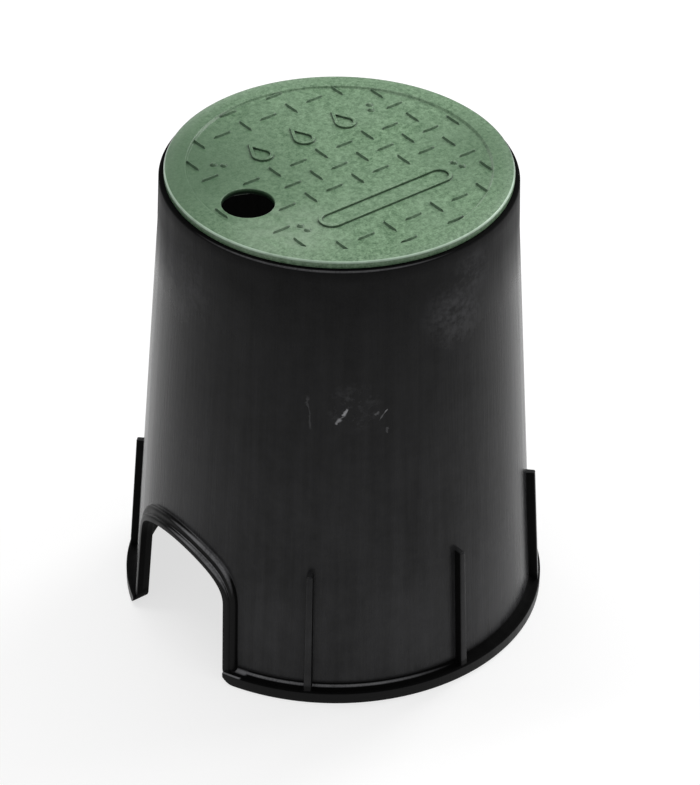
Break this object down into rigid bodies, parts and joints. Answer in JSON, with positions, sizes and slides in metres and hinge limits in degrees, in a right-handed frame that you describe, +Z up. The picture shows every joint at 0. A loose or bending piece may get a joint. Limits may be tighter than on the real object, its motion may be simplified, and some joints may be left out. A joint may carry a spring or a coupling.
{
  "type": "irrigation valve box",
  "caption": "Round tapered valve box with base flange, outside ribs, pipe arches with stepped lips, and a lift-off lid with tread bars and a finger hole.",
  "frame": {"origin": "centre of the base ring, on the floor", "axes": "+Z up along the axis of the wall, X along the pipe that passes through the arches, with the finger hole towards -X"},
  "size_m": [0.1894, 0.198, 0.229],
  "materials": {
    "black_plastic": "satin moulded polyethylene with light handling scuffs",
    "green_plastic": "fine grained matte moulded polyethylene"
  },
  "bodies": {
    "box": {"box_body": "black_plastic"},
    "lid": {"lid": "green_plastic"}
  },
  "joints": [
    {"name": "lid_lift", "type": "slide", "parent": "box", "child": "lid", "axis": [0, 0, 1], "range_m": [0, 0.05]}
  ]
}
